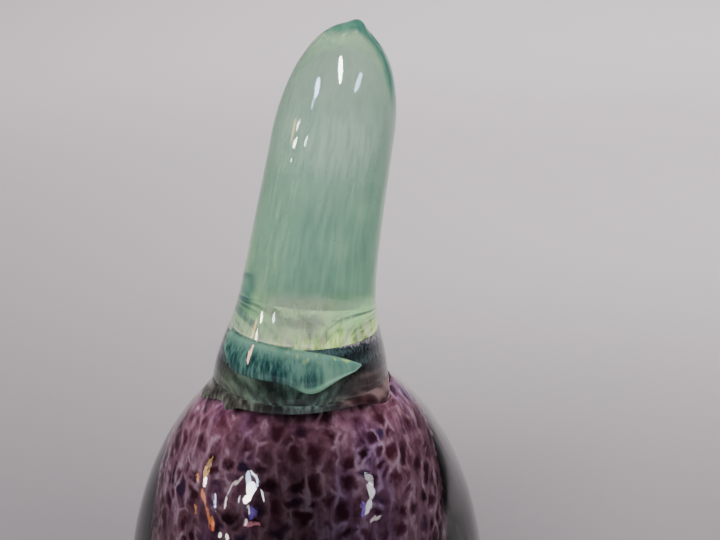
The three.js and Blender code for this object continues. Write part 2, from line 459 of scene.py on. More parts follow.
def calyx_upper(angle, reach, wall, top):
    """Rows in from the rim to the foot's wall: along the shoulder, then up to the top.

    The rim rounds over as a quarter circle, and the climb falls off from the wall as a bell.
    """
    rim_x = reach * np.cos(angle)
    rim_y = reach * np.sin(angle)
    wall_x = lean_at(FOOT_BOTTOM) + wall * np.cos(angle)
    wall_y = wall * np.sin(angle)
    inwards = np.linspace(0, 1, CALYX_CLIMB_RINGS)[:, None] ** 1.5
    x = rim_x + (wall_x - rim_x) * inwards
    y = rim_y + (wall_y - rim_y) * inwards
    inset = np.minimum(np.hypot(x - rim_x, y - rim_y) / CALYX_ROUND, 1)
    rounded = np.sqrt(np.clip(1 - (1 - inset) ** 2, 0, 1))
    shoulder = shoulder_height(np.maximum(np.hypot(x, y), CROWN_RADIUS)) + CALYX_CLEARANCE
    low = shoulder + CALYX_EDGE * rounded
    climb = bell(np.hypot(x - wall_x, y - wall_y), CALYX_FILLET) * rounded
    return np.stack([x, y, low + (top - low) * climb], -1)


def calyx_shape():
    """A cookie that lies on crown and shoulder: out below, in above, and flat under the foot."""
    angle = np.arange(COLUMNS) * TURN / COLUMNS
    reach = calyx_reach(angle)
    shift = lean_at(FOOT_BOTTOM)
    wall = root_radius(FOOT_BOTTOM) - FOOT_ROLL * 0.6
    top = FOOT_BOTTOM - JOINT_GAP
    floor_rings = wall * np.array([0.9, 0.6, 0.3])
    rows = np.concatenate([
        calyx_underside(angle, reach),
        calyx_upper(angle, reach, wall, top),
        ring_points(floor_rings, np.full(len(floor_rings), top), shift),
    ])
    count = len(rows)
    caps = (*range(count - len(floor_rings) - 1, count - 1), count)
    return closed_skin("calyx_cookie", rows, axis_point(CROWN_HEIGHT), axis_point(top, shift), caps)


def lap_shape():
    """A tongue on the root: along it a slanted blunt end, a lip and a quartic taper to a point.

    Across it, the section is a lens half an ellipse deep, with a rolled lower edge at the lip.
    """
    share = np.linspace(0, 1, LAP_RINGS)[1:-1, None]
    blunt = np.sqrt(np.clip(1 - (1 - share / LAP_BLUNT_SHARE) ** 2, 0, 1))
    taper = 1 - ((share - LAP_BLUNT_SHARE) / (1 - LAP_BLUNT_SHARE)) ** 4
    fullness = np.where(share < LAP_BLUNT_SHARE, blunt, taper)
    spread = LAP_HALF_HEIGHT * fullness
    downwards = np.cos(np.linspace(0, math.pi, LAP_SIDE_POINTS))
    side = np.concatenate([downwards, downwards[::-1]])
    outer = np.repeat([1, 0], LAP_SIDE_POINTS)
    lip = LIP_DROP * bell(share - LIP_SHARE, LIP_SPREAD) * fullness
    middle = FOOT_BOTTOM + LAP_MIDDLE - LAP_DROP * share**2.5
    height = middle + spread * side - lip * (1 - side) / 2
    thin = np.minimum(1, spread / LAP_THICKNESS)
    lens = LAP_BULGE * np.sqrt(np.clip(1 - side**2, 0, 1)) * thin
    along_lip = smooth((share - ROLLED_FROM) / (ROLLED_FULLY - ROLLED_FROM))
    rolled = bell(side - ROLLED_SIDE, ROLLED_SPREAD) * along_lip * thin
    out = outer * (LAP_EDGE + (LAP_THICKNESS - LAP_EDGE) * np.maximum(lens, rolled))
    radius = root_radius(height) + LAP_CLEARANCE + out
    angle = LAP_START + LAP_SWEEP * share - LAP_SLANT * side * fullness * (1 - share)
    rows = np.stack([lean_at(height) + radius * np.cos(angle), radius * np.sin(angle), height], -1)
    return closed_skin("stem_lap_fold", rows, rows[0].mean(0), rows[-1].mean(0))


class Tree:
    """A node tree with one call for each node, its settings, its values and its links."""

    def __init__(self, tree):
        self.nodes = tree.nodes
        self.links = tree.links
        self.nodes.clear()

    def fill(self, node, inputs):
        """Sets a node's inputs: a socket is linked, and anything else is a value."""
        for key, value in inputs.items():
            if isinstance(value, bpy.types.NodeSocket):
                self.links.new(value, node.inputs[key])
            else:
                node.inputs[key].default_value = value
        return node

    def add(self, kind, inputs=None, **settings):
        """A new node of a kind, with its settings and its inputs."""
        node = self.nodes.new("ShaderNode" + kind)
        for key, value in settings.items():
            setattr(node, key, value)
        return self.fill(node, inputs or {})


def material(name):
    """A new material and its tree."""
    made = bpy.data.materials.new(name)
    made.use_nodes = True
    return made, Tree(made.node_tree)


def maths(tree, operation, *values):
    """One number worked out from others."""
    return tree.add("Math", dict(enumerate(values)), operation=operation).outputs[0]


def between(tree, value, low, high, to_low=0.0, to_high=1.0):
    """A value taken smoothly from one span to another."""
    return tree.add("MapRange", {0: value, 1: low, 2: high, 3: to_low, 4: to_high},
                    interpolation_type="SMOOTHSTEP").outputs[0]


def ramp(tree, value, *stops):
    """A colour ramp of (position, colour) stops."""
    node = tree.add("ValToRGB", {0: value})
    elements = node.color_ramp.elements
    for element, (position, colour) in zip(elements, (stops[0], stops[-1])):
        element.position = position
        element.color = (*colour, 1)
    for position, colour in stops[1:-1]:
        elements.new(position).color = (*colour, 1)
    return node.outputs[0]


def blend(tree, share, first, second, mode="MIX"):
    """The second colour laid over the first by a share. Each is a socket or three numbers."""
    first, second = (colour if isinstance(colour, bpy.types.NodeSocket) else (*colour, 1)
                     for colour in (first, second))
    return tree.add("Mix", {0: share, 6: first, 7: second}, data_type="RGBA",
                    blend_type=mode).outputs[2]


def parts_of(tree, place):
    """The X, Y and Z of a place."""
    return tree.add("SeparateXYZ", {0: place}).outputs


def stretched(tree, place, scale):
    """The place with its axes scaled: a pattern runs along an axis whose scale is small."""
    return tree.add("Mapping", {"Vector": place, "Scale": scale}).outputs[0]


def noise(tree, place, scale, detail):
    """Soft noise about a half, of so many patches to a metre, with finer layers."""
    return tree.add("TexNoise", {"Vector": place, "Scale": scale, "Detail": detail}).outputs[0]


def spot(tree, place, middle, reach):
    """A soft spot in the shape of an ellipsoid: 1 in its middle, 0 from its edge on."""
    off = tree.add("VectorMath", {0: place, 1: middle}, operation="SUBTRACT").outputs[0]
    scale = tuple(1 / value for value in reach)
    scaled = tree.add("VectorMath", {0: off, 1: scale}, operation="MULTIPLY").outputs[0]
    far = tree.add("VectorMath", {0: scaled}, operation="LENGTH").outputs["Value"]
    return between(tree, far, 0.4, 1.0, 1.0, 0.0)


def new_group(name, values, results):
    """A node group that takes a place and some values, its tree and what it is given."""
    group = bpy.data.node_groups.new(name, "ShaderNodeTree")
    sockets = group.interface
    sockets.new_socket(name="Place", in_out="INPUT", socket_type="NodeSocketVector")
    for label, value in values.items():
        socket = sockets.new_socket(name=label, in_out="INPUT", socket_type="NodeSocketFloat")
        socket.default_value = value
    for label in results:
        sockets.new_socket(name=label, in_out="OUTPUT", socket_type="NodeSocketFloat")
    tree = Tree(group)
    return group, tree, tree.nodes.new("NodeGroupInput").outputs


def drawn_streaks():
    """A group: cords in drawn glass, as noise stretched along Z at a fine and a broad scale."""
    group, tree, given = new_group("drawn streaks", {"Fine": 700.0, "Broad": 150.0, "Draw": 0.05},
                                   ("Fine", "Broad", "Both"))
    scale = tree.add("CombineXYZ", {0: 1.0, 1: 1.0, 2: given["Draw"]}).outputs[0]
    drawn = stretched(tree, given["Place"], scale)
    fine = noise(tree, drawn, given["Fine"], 3.0)
    broad = noise(tree, drawn, given["Broad"], 2.0)
    both = tree.add("Mix", {0: 0.5, 2: fine, 3: broad}, data_type="FLOAT").outputs[0]
    tree.fill(tree.nodes.new("NodeGroupOutput"), {"Fine": fine, "Broad": broad, "Both": both})
    return group


def glass_ripple():
    """A group: the uneven skin of hand-worked glass, as slow swells and ripples drawn upwards."""
    group, tree, given = new_group("glass ripple", {"Swell": 28.0, "Ripple": 260.0, "Share": 0.06},
                                   ("Height",))
    swells = noise(tree, given["Place"], given["Swell"], 1.0)
    upwards = stretched(tree, given["Place"], (1.0, 1.0, 0.35))
    ripples = noise(tree, upwards, given["Ripple"], 1.5)
    height = maths(tree, "MULTIPLY_ADD", ripples, given["Share"], swells)
    tree.fill(tree.nodes.new("NodeGroupOutput"), {"Height": height})
    return group


def bumped(tree, height, strength, depth):
    """The normal of a skin whose height varies by so much."""
    return tree.add("Bump", {"Height": height, "Strength": strength, "Distance": depth}).outputs[0]


def glass_surface(tree, tint, inputs):
    """Glass that shadow and diffuse rays pass straight through, taking on a tint.

    That is how light reaches what is inside it.
    """
    glass = tree.add("BsdfPrincipled", {"Roughness": 0.0, "IOR": GLASS_INDEX, **inputs})
    path = tree.add("LightPath").outputs
    straight = maths(tree, "MAXIMUM", path["Is Shadow Ray"], path["Is Diffuse Ray"])
    through = tree.add("BsdfTransparent", {"Color": (*tint, 1)})
    mixed = tree.add("MixShader", {0: straight, 1: glass.outputs[0], 2: through.outputs[0]})
    return mixed.outputs[0]


def casing_glass(ripple):
    """Thick smoky-clear glass with an uneven skin, ground dull where it stands, with painted shade on
    its right.
    """
    made, tree = material("clear casing glass")
    place = tree.add("TexCoord").outputs["Object"]
    parts = parts_of(tree, place)
    skin = tree.add("Group", {"Place": place, "Swell": 28.0, "Ripple": 320.0, "Share": 0.16},
                    node_tree=ripple).outputs["Height"]
    # Painted shade: the base colour darkens towards the right, so the glass there looks darker.
    right = between(tree, parts["X"], -10 * MM, BELLY_RADIUS)
    surface = glass_surface(tree, CLEAR_TINT, {
        "Base Color": blend(tree, right, CLEAR_TINT, (0.50, 0.56, 0.54)),
        "Roughness": between(tree, parts["Z"], 0.2 * MM, 0.5 * MM, 0.45, 0.035),
        "Transmission Weight": 1.0,
        "Normal": bumped(tree, skin, 0.5, 0.8 * MM),
    })
    smoke = tree.add("VolumeAbsorption", {"Color": (0.28, 0.35, 0.325, 1), "Density": 44.0})
    tree.add("OutputMaterial", {"Surface": surface, "Volume": smoke.outputs[0]})
    return made


def heart_glass():
    """Clear glass whose tint drifts a little."""
    made, tree = material("clear heart glass")
    drift = noise(tree, tree.add("TexCoord").outputs["Object"], 40.0, 1.0)
    colour = ramp(tree, drift, (0.3, (0.94, 0.97, 0.96)), (0.7, (0.98, 0.99, 0.985)))
    surface = glass_surface(tree, CLEAR_TINT, {"Base Color": colour, "Transmission Weight": 1.0})
    tree.add("OutputMaterial", {"Surface": surface})
    return made


def foot_glass(streaks):
    """Clear glass, dusky at the right by painted shade, with yellow-green cords behind, just under the
    stem.
    """
    made, tree = material("clear foot glass")
    place = tree.add("Attribute", attribute_name="drawn").outputs["Vector"]
    parts = parts_of(tree, place)
    cords = tree.add("Group", {"Place": place, "Fine": 1100.0, "Broad": 190.0, "Draw": 0.08},
                     node_tree=streaks).outputs
    clear = ramp(tree, cords["Both"], (0.40, (0.42, 0.50, 0.49)), (0.60, (0.97, 0.99, 0.97)))
    green = ramp(tree, cords["Fine"],
                 (0.40, (0.30, 0.50, 0.12)),
                 (0.50, (0.90, 0.98, 0.45)),
                 (0.58, (1.0, 1.0, 0.78)))
    high = between(tree, parts["Z"], FOOT_BOTTOM + 5 * MM, FOOT_BOTTOM + 8 * MM)
    behind = between(tree, parts["Y"], -6 * MM, 4 * MM)
    # Painted shade: a dusky maroon is multiplied into the colour towards the right.
    right = between(tree, parts["X"], 4 * MM, 15 * MM)
    clear = blend(tree, right, clear, (0.42, 0.32, 0.37), "MULTIPLY")
    surface = glass_surface(tree, (0.86, 0.93, 0.9), {
        "Base Color": blend(tree, maths(tree, "MULTIPLY", high, behind), clear, green),
        "Transmission Weight": 1.0,
        "Normal": bumped(tree, cords["Both"], 0.35, 0.8 * MM),
    })
    tree.add("OutputMaterial", {"Surface": surface})
    return made


def stem_cords(tree, parts, cords):
    """Milky green cords, deep below and pale towards the tip; the darkening is partly thicker glass,
    partly painted shade.
    """
    low = ramp(tree, cords["Both"],
               (0.38, (0.22, 0.48, 0.35)),
               (0.50, (0.32, 0.63, 0.45)),
               (0.62, (0.48, 0.80, 0.55)))
    high = ramp(tree, cords["Both"], (0.38, (0.55, 0.77, 0.62)), (0.62, (0.68, 0.90, 0.72)))
    # The darkening downwards is partly painted shade, for the darker background seen through the lower
    # stem.
    upper = between(tree, parts["Z"], STEM_BOTTOM + 26 * MM, STEM_BOTTOM + 66 * MM)
    return blend(tree, upper, low, high)


def stem_curtain(tree, parts, cords, shade):
    """Yellow-green cords over the stem's lowest part, with a ragged upper edge, faint at the left."""
    level = maths(tree, "MULTIPLY_ADD", cords["Broad"], 6 * MM, parts["Z"])
    lower = between(tree, level, STEM_BOTTOM + 4 * MM, STEM_BOTTOM + 10 * MM, 0.95, 0.0)
    lime = ramp(tree, cords["Fine"],
                (0.42, (0.42, 0.62, 0.18)),
                (0.50, (0.90, 1.0, 0.42)),
                (0.58, (1.0, 1.0, 0.80)))
    faint = ramp(tree, cords["Fine"], (0.40, (0.60, 0.74, 0.54)), (0.60, (0.90, 0.96, 0.80)))
    right = between(tree, parts["X"], -10 * MM, 5 * MM)
    return blend(tree, lower, shade, blend(tree, right, faint, lime))


def stem_teal(tree, place, parts):
    """How far teal shows: the sheared tail, and a thread down the leaning side from the tip.

    The thread lies where the angle off its bearing times the distance from the axis is small.
    """
    angle = maths(tree, "ARCTAN2", parts["Y"], parts["X"])
    turned = maths(tree, "ABSOLUTE", maths(tree, "SUBTRACT", angle, THREAD_BEARING))
    level = tree.add("CombineXYZ", {0: parts["X"], 1: parts["Y"]}).outputs[0]
    radius = tree.add("VectorMath", {0: level}, operation="LENGTH").outputs["Value"]
    off = maths(tree, "MULTIPLY", turned, radius)
    thread = between(tree, off, THREAD_WIDTH / 2, THREAD_WIDTH, 1.0, 0.0)
    near_tip = between(tree, parts["Z"], STEM_TOP - 26 * MM, STEM_TOP - 12 * MM)
    tail = spot(tree, place, NIB_SPOT, NIB_REACH)
    return maths(tree, "MAXIMUM", maths(tree, "MULTIPLY", thread, near_tip), tail)


def stem_glass(streaks, ripple):
    """Milky green glass with cords along it, soft spots in it (a painted highlight and a painted
    reflection), lime at its root and teal at its tip.
    """
    made, tree = material("sea-green stem glass")
    place = tree.add("Attribute", attribute_name="drawn").outputs["Vector"]
    parts = parts_of(tree, place)
    cords = tree.add("Group", {"Place": place, "Fine": 900.0, "Broad": 130.0, "Draw": 0.13},
                     node_tree=streaks).outputs
    dashes = between(tree, cords["Fine"], 0.40, 0.60, 0.25, 0.75)
    # Painted highlight: a pale milky patch on the front of the stem, broken by dashes.
    milky = maths(tree, "MULTIPLY", spot(tree, place, MILKY_HIGHLIGHT_SPOT, MILKY_HIGHLIGHT_REACH), dashes)
    shade = blend(tree, milky, stem_cords(tree, parts, cords), (0.74, 1.0, 0.85))
    shade = blend(tree, spot(tree, place, DARK_SPOT, DARK_REACH), shade, (0.07, 0.20, 0.27))
    shade = stem_curtain(tree, parts, cords, shade)
    # Painted reflection: the grey of the backdrop, seen low on the front of the stem.
    grey_reflection = maths(tree, "MULTIPLY", spot(tree, place, GREY_REFLECTION_SPOT, GREY_REFLECTION_REACH), 0.7)
    shade = blend(tree, grey_reflection, shade, (0.62, 0.68, 0.66))
    teal = maths(tree, "MULTIPLY", stem_teal(tree, place, parts), 0.9)
    skin = tree.add("Group", {"Place": place, "Swell": 60.0, "Ripple": 500.0, "Share": 0.06},
                    node_tree=ripple).outputs["Height"]
    surface = glass_surface(tree, (0.6, 0.85, 0.75), {
        "Base Color": blend(tree, teal, shade, (0.035, 0.25, 0.25)),
        "Transmission Weight": 0.68,
        "Normal": bumped(tree, skin, 0.4, 0.6 * MM),
    })
    tree.add("OutputMaterial", {"Surface": surface})
    return made


def stem_seam(streaks):
    """The layer where green glass ends on clear glass: yellow-green cords with gaps between them.

    It lies flat, so its cords run from front to back. It is thickest at the right.
    """
    made, tree = material("streaked stem seam")
    place = tree.add("TexCoord").outputs["Object"]
    along = stretched(tree, place, (1.0, 0.12, 1.0))
    cords = tree.add("Group", {"Place": along, "Fine": 700.0, "Broad": 200.0, "Draw": 1.0},
                     node_tree=streaks).outputs
    colour = ramp(tree, cords["Fine"], (0.38, (0.34, 0.50, 0.20)), (0.56, (1.0, 1.0, 0.52)))
    right = between(tree, parts_of(tree, place)["X"], -8 * MM, 8 * MM, 0.45, 0.95)
    cover = maths(tree, "MULTIPLY", between(tree, cords["Both"], 0.38, 0.58, 0.1, 1.0), right)
    layer = tree.add("BsdfPrincipled", {"Base Color": colour, "Roughness": 0.9,
                                        "Specular IOR Level": 0.0, "Alpha": cover})
    tree.add("OutputMaterial", {"Surface": layer.outputs[0]})
    return made


def fused_joint():
    """The inside of a joint where two glasses are one: nothing shows there."""
    made, tree = material("fused joint")
    through = tree.add("BsdfTransparent", {"Color": (1, 1, 1, 1)})
    tree.add("OutputMaterial", {"Surface": through.outputs[0]})
    return made


def wandering(tree, place):
    """The place moved by noise, so that chips have uneven edges and stand a little taller than wide."""
    noisy = tree.add("TexNoise", {"Vector": place, "Scale": 170.0, "Detail": 3.0}).outputs["Color"]
    about_zero = tree.add("VectorMath", {0: noisy, 1: (0.5, 0.5, 0.5)}, operation="SUBTRACT")
    shift = tree.add("VectorMath", {0: about_zero.outputs[0], "Scale": 6 * MM}, operation="SCALE")
    taller = stretched(tree, place, (1.0, 1.0, 0.8))
    return tree.add("VectorMath", {0: taller, 1: shift.outputs[0]}, operation="ADD").outputs[0]


def chip_body(tree, cells, mottle):
    """The chips: each one core of maroon, brown or violet, paling to mauve away from its middle."""
    pick = tree.add("TexVoronoi", cells).outputs["Color"]
    far = tree.add("TexVoronoi", {**cells, "Smoothness": 0.35}, feature="SMOOTH_F1")
    core = ramp(tree, tree.add("SeparateColor", {0: pick}).outputs[0],
                (0.00, (0.060, 0.012, 0.024)),
                (0.30, (0.026, 0.007, 0.013)),
                (0.55, (0.080, 0.018, 0.034)),
                (0.80, (0.038, 0.010, 0.021)),
                (1.00, (0.045, 0.024, 0.085)))
    mauve = ramp(tree, mottle, (0.35, (0.125, 0.040, 0.066)), (0.65, (0.26, 0.105, 0.155)))
    rise = maths(tree, "MULTIPLY_ADD", mottle, 0.22, far.outputs["Distance"])
    return blend(tree, between(tree, rise, 0.30, 0.74, 0.0, 0.9), core, mauve)


def chip_wisps(tree, edge, mottle, patch, thread, body):
    """Where chips meet: a soft rosy halo, and broken wisps of lilac on it."""
    near = maths(tree, "MULTIPLY_ADD", mottle, 0.10, edge)
    halo = maths(tree, "MULTIPLY", between(tree, near, 0.05, 0.30, 1.0, 0.0),
                 between(tree, patch, 0.38, 0.62, 0.15, 0.65))
    body = blend(tree, halo, body, (0.36, 0.16, 0.24))
    wisp = maths(tree, "MULTIPLY", between(tree, edge, 0.0, 0.17, 1.0, 0.0),
                 between(tree, thread, 0.44, 0.66, 0.0, 0.55))
    lilac = ramp(tree, patch, (0.40, (0.46, 0.24, 0.33)), (0.60, (0.74, 0.50, 0.66)))
    return blend(tree, wisp, body, lilac)


def frit_chips():
    """Melted chips with wisps where they meet, drifts of blue over them and dark threads down them."""
    made, tree = material("purple frit chips")
    place = tree.add("TexCoord").outputs["Object"]
    cells = {"Vector": wandering(tree, place), "Scale": CHIP_SCALE}
    edge = tree.add("TexVoronoi", cells, feature="DISTANCE_TO_EDGE").outputs["Distance"]
    upright = stretched(tree, place, (1.0, 1.0, 0.2))
    mottle = noise(tree, place, 420.0, 2.0)
    patch = noise(tree, place, 75.0, 2.0)
    thread = noise(tree, upright, 480.0, 2.0)
    drift = noise(tree, upright, 110.0, 2.0)
    shade = chip_wisps(tree, edge, mottle, patch, thread, chip_body(tree, cells, mottle))
    blue = between(tree, drift, 0.50, 0.66, 0.0, 0.6)
    shade = blend(tree, blue, shade, (0.66, 0.60, 1.0), "MULTIPLY")
    dark = between(tree, thread, 0.36, 0.50, 0.35, 0.0)
    shade = blend(tree, dark, shade, (0.3, 0.3, 0.3), "MULTIPLY")
    surface = tree.add("BsdfPrincipled", {"Base Color": shade, "Roughness": 0.5,
                                          "Specular IOR Level": 0.0})
    tree.add("OutputMaterial", {"Surface": surface.outputs[0]})
    return made


def calyx_chips(tree, place):
    """Brown chips of the body, seen through the calyx: dark in their middles, paler where they meet."""
    chips = tree.add("TexVoronoi", {"Vector": place, "Scale": 260.0, "Smoothness": 0.4},
                     feature="SMOOTH_F1")
    return ramp(tree, chips.outputs["Distance"],
                (0.20, (0.026, 0.010, 0.014)),
                (0.50, (0.060, 0.026, 0.032)),
                (0.75, (0.21, 0.13, 0.13)))


def calyx_glass(streaks, name, shine, stretch, paler):
    """Dark glass: olive towards the leaves, teal-black in front, and chips showing at the right.

    Stretch is the way its cords run. Paler is how far pale ones show behind the stem's axis.
    """
    made, tree = material(name)
    place = tree.add("TexCoord").outputs["Object"]
    parts = parts_of(tree, place)
    along = stretched(tree, place, stretch)
    cords = tree.add("Group", {"Place": along, "Fine": 800.0, "Broad": 240.0, "Draw": 1.0},
                     node_tree=streaks).outputs
    olive = ramp(tree, cords["Both"],
                 (0.40, (0.034, 0.031, 0.028)),
                 (0.50, (0.085, 0.085, 0.072)),
                 (0.60, (0.20, 0.215, 0.165)))
    teal = ramp(tree, cords["Both"],
                (0.40, (0.020, 0.023, 0.025)),
                (0.50, (0.055, 0.070, 0.068)),
                (0.60, (0.14, 0.20, 0.175)))
    pale = ramp(tree, cords["Fine"],
                (0.42, (0.016, 0.008, 0.013)),
                (0.54, (0.030, 0.042, 0.052)),
                (0.66, (0.13, 0.21, 0.23)))
    wander = maths(tree, "MULTIPLY_ADD", cords["Broad"], 8 * MM, parts["X"])
    shade = blend(tree, between(tree, wander, -12 * MM, 2 * MM), olive, teal)
    right = between(tree, wander, 8 * MM, 17 * MM)
    shade = blend(tree, right, shade, calyx_chips(tree, place))
    shade = blend(tree, between(tree, parts["Y"], 0.0, 8 * MM, 0.0, paler), shade, pale)
    surface = tree.add("BsdfPrincipled", {"Base Color": shade, "Roughness": 0.12,
                                          "Specular IOR Level": shine})
    tree.add("OutputMaterial", {"Surface": surface.outputs[0]})
    return made


def lap_cords(tree, spread, cords):
    """Dark green cords, with pale glass along the upper edge and at the point.

    Round the section the spread's X runs from the top edge, 0, to the bottom edge, 0.5, and back.
    Its Y runs from the blunt end to the point.
    """
    dark = ramp(tree, cords["Both"],
                (0.38, (0.014, 0.050, 0.056)),
                (0.48, (0.045, 0.135, 0.125)),
                (0.60, (0.135, 0.30, 0.245)))
    pale = ramp(tree, cords["Broad"], (0.3, (0.11, 0.28, 0.22)), (0.7, (0.24, 0.46, 0.34)))
    down = maths(tree, "MULTIPLY_ADD", cords["Broad"], 0.16, spread["X"])
    upper = between(tree, down, 0.17, 0.30, 1.0, 0.0)
    along = maths(tree, "MULTIPLY_ADD", cords["Broad"], 0.3, spread["Y"])
    point = between(tree, along, 0.72, 0.95, 0.0, 0.7)
    return blend(tree, maths(tree, "MAXIMUM", upper, point), dark, pale)


def lap_edge_highlights(tree, spread, cords, shade):
    """The lip's folded lower edge and the blunt end, bright where light catches them."""
    down = maths(tree, "MULTIPLY_ADD", cords["Broad"], 0.10, spread["X"])
    at_lip = between(tree, spread["Y"], 0.50, 0.60)
    lip = maths(tree, "MULTIPLY", between(tree, down, 0.38, 0.46), at_lip)
    blunt = between(tree, spread["Y"], 0.005, 0.03, 0.6, 0.0)
    # Painted highlight: a pale green laid on the lip and on the blunt end.
    return blend(tree, maths(tree, "MAXIMUM", lip, blunt), shade, (0.26, 0.54, 0.37))


def lap_yellow_highlights(tree, place, spread, shade):
    """Painted yellow highlights, as flecks along the upper edge, towards the point."""
    specks = noise(tree, stretched(tree, place, (1.0, 1.0, 0.4)), 700.0, 1.0)
    upper = between(tree, spread["X"], 0.10, 0.20, 0.9, 0.0)
    far = maths(tree, "MULTIPLY", upper, between(tree, spread["Y"], 0.40, 0.55))
    yellow = maths(tree, "MULTIPLY", between(tree, specks, 0.56, 0.70, 0.0, 0.8), far)
    return blend(tree, yellow, shade, (0.62, 0.80, 0.22))


def lap_glass(streaks, ripple):
    """Deep green glass with dark cords, pale edges and painted highlights, which melts into the root at
    its rim.
    """
    made, tree = material("deep green lap glass")
    coordinate = tree.add("TexCoord").outputs
    place = coordinate["Object"]
    spread = parts_of(tree, coordinate["UV"])
    cords = tree.add("Group", {"Place": place, "Fine": 1300.0, "Broad": 330.0, "Draw": 0.12},
                     node_tree=streaks).outputs
    shade = lap_cords(tree, spread, cords)
    shade = lap_edge_highlights(tree, spread, cords, shade)
    shade = lap_yellow_highlights(tree, place, spread, shade)
    from_top = maths(tree, "PINGPONG", spread["X"], 0.5)
    ragged = maths(tree, "MULTIPLY_ADD", cords["Fine"], 0.03, from_top)
    skin = tree.add("Group", {"Place": place, "Swell": 120.0, "Ripple": 600.0, "Share": 0.1},
                    node_tree=ripple).outputs["Height"]
    surface = tree.add("BsdfPrincipled", {
        "Base Color": shade,
        "Roughness": 0.05,
        "IOR": GLASS_INDEX,
        "Alpha": between(tree, ragged, 0.015, 0.12),
        "Normal": bumped(tree, skin, 0.5, 0.5 * MM),
    })
    tree.add("OutputMaterial", {"Surface": surface.outputs[0]})
    return made


def dress(piece, node, *materials):
    """A piece wears its materials, rides on the one body, and stands for a CAD node."""
    for made in materials:
        piece.data.materials.append(made)
    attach(piece, "root")
    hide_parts(node)
    return piece


def stage_sweep():
    """A floor that curves up into a backdrop: a straight run, a quarter circle, a straight rise."""
    half_width = 2.5
    near = -3.0
    bend_start = 1.1
    bend = 0.8
    top = 3.0
    angle = quarter(24)
    depth = np.concatenate([[near], bend_start + bend * np.sin(angle), [bend_start + bend]])
    height = np.concatenate([[0], bend - bend * np.cos(angle), [top]])
    across = np.array([-half_width, half_width])
    grid = np.stack(np.broadcast_arrays(across, depth[:, None], height[:, None]), -1)
    row = np.arange(len(depth) - 1) * 2
    faces = np.stack([row, row + 1, row + 3, row + 2], -1)
    mesh = bpy.data.meshes.new("floor_sweep")
    mesh.from_pydata(grid.reshape(-1, 3).tolist(), [], faces.tolist())
    mesh.polygons.foreach_set("use_smooth", np.ones(len(faces), bool))
    sweep = bpy.data.objects.new("floor_sweep", mesh)
    bpy.context.collection.objects.link(sweep)
    made, tree = material("pale floor")
    paint = tree.add("BsdfPrincipled", {"Base Color": (0.62, 0.545, 0.575, 1), "Roughness": 0.8,
                                        "Specular IOR Level": 0.2})
    tree.add("OutputMaterial", {"Surface": paint.outputs[0]})
    mesh.materials.append(made)
    return sweep


def soft_room():
    """A dim pink room, a little brighter behind the object."""
    world = bpy.data.worlds.new("soft room")
    bpy.context.scene.world = world
    world.use_nodes = True
    tree = Tree(world.node_tree)
    look = parts_of(tree, tree.add("TexCoord").outputs["Generated"])
    strength = between(tree, look["Y"], -0.2, 0.9, 0.06, 0.12)
    sky = tree.add("Background", {"Color": (1, 0.66, 0.72, 1), "Strength": strength})
    tree.add("OutputWorld", {"Surface": sky.outputs[0]})


def lamp(name, seat, face, size, radiance, colour=(1, 1, 1), only=(), spread=180):
    """A lamp that lights. Its power is its radiance times pi times its area.

    Face is the turn that points its -Z at what it lights. Where only lists pieces, it lights
    nothing else. Spread is the angle that its light fans out to, in degrees.
    """
    data = bpy.data.lights.new(name, "AREA")
    data.shape = "RECTANGLE"
    data.size, data.size_y = size
    data.energy = radiance * math.pi * size[0] * size[1]
    data.color = colour
    data.spread = math.radians(spread)
    made = bpy.data.objects.new(name, data)
    made.location = seat
    made.rotation_euler = face.to_euler()
    made.visible_camera = False
    made.visible_transmission = False
    made.visible_glossy = False
    bpy.context.collection.objects.link(made)
    if only:
        lit = bpy.data.collections.new(name + "_lights_only")
        for piece in only:
            lit.objects.link(piece)
        made.light_linking.receiver_collection = lit
    return made


def softbox(name, seat, aim, size, radiance, **settings):
    """A lamp turned from its seat towards its aim."""
    face = (Vector(aim) - Vector(seat)).to_track_quat("-Z", "Y")
    return lamp(name, seat, face, size, radiance, **settings)


def round_about(azimuth, elevation, distance):
    """A place on a sphere about the object. Azimuth runs from +Y towards +X."""
    turn = math.radians(azimuth)
    rise = math.radians(elevation)
    away = (math.sin(turn) * math.cos(rise), math.cos(turn) * math.cos(rise), math.sin(rise))
    return Vector(CENTRE) + distance * Vector(away)


def body_skin(height):
    """Radius of the body's shoulder at a height, and its shift along X."""
    return shoulder_radius(height), 0.0


def stem_skin(height):
    """Radius and shift along X of foot and stem at a height."""
    end = np.clip((height - STEM_END_BOTTOM) / STEM_END_LENGTH, 0, 1)
    return root_radius(min(height, STEM_END_BOTTOM)) * math.sqrt(1 - end**2), lean_at(height)


def lap_skin(height):
    """Radius and shift along X of the lap at a height, where its section is half an ellipse."""
    radius, shift = stem_skin(height)
    side = np.clip((height - FOOT_BOTTOM - LAP_MIDDLE) / LAP_HALF_HEIGHT, -0.95, 0.95)
    bulge = LAP_BULGE * (LAP_THICKNESS - LAP_EDGE) * math.sqrt(1 - side**2)
    return radius + LAP_EDGE + bulge, shift


def mirrored(skin, bearing, height):
    """Where a skin throws a ray from the camera, and the place that it is thrown from.

    The ray meets the skin at a bearing, from the front, -Y, towards +X, and a height. The skin
    faces along the cross product of its tangents there, and the ray is turned back about that.
    """
    def point(turn, level):
        """A point of the skin."""
        radius, shift = skin(level)
        return Vector((shift + radius * math.sin(turn), -radius * math.cos(turn), level))

    step = 1e-3
    met = point(bearing, height)
    sideways = point(bearing + step, height) - met
    upwards = point(bearing, height + step * MM) - met
    ray = (met - Vector(CAMERA_SEAT)).normalized()
    return met + GLINT_DISTANCE * ray.reflect(sideways.cross(upwards).normalized()), met


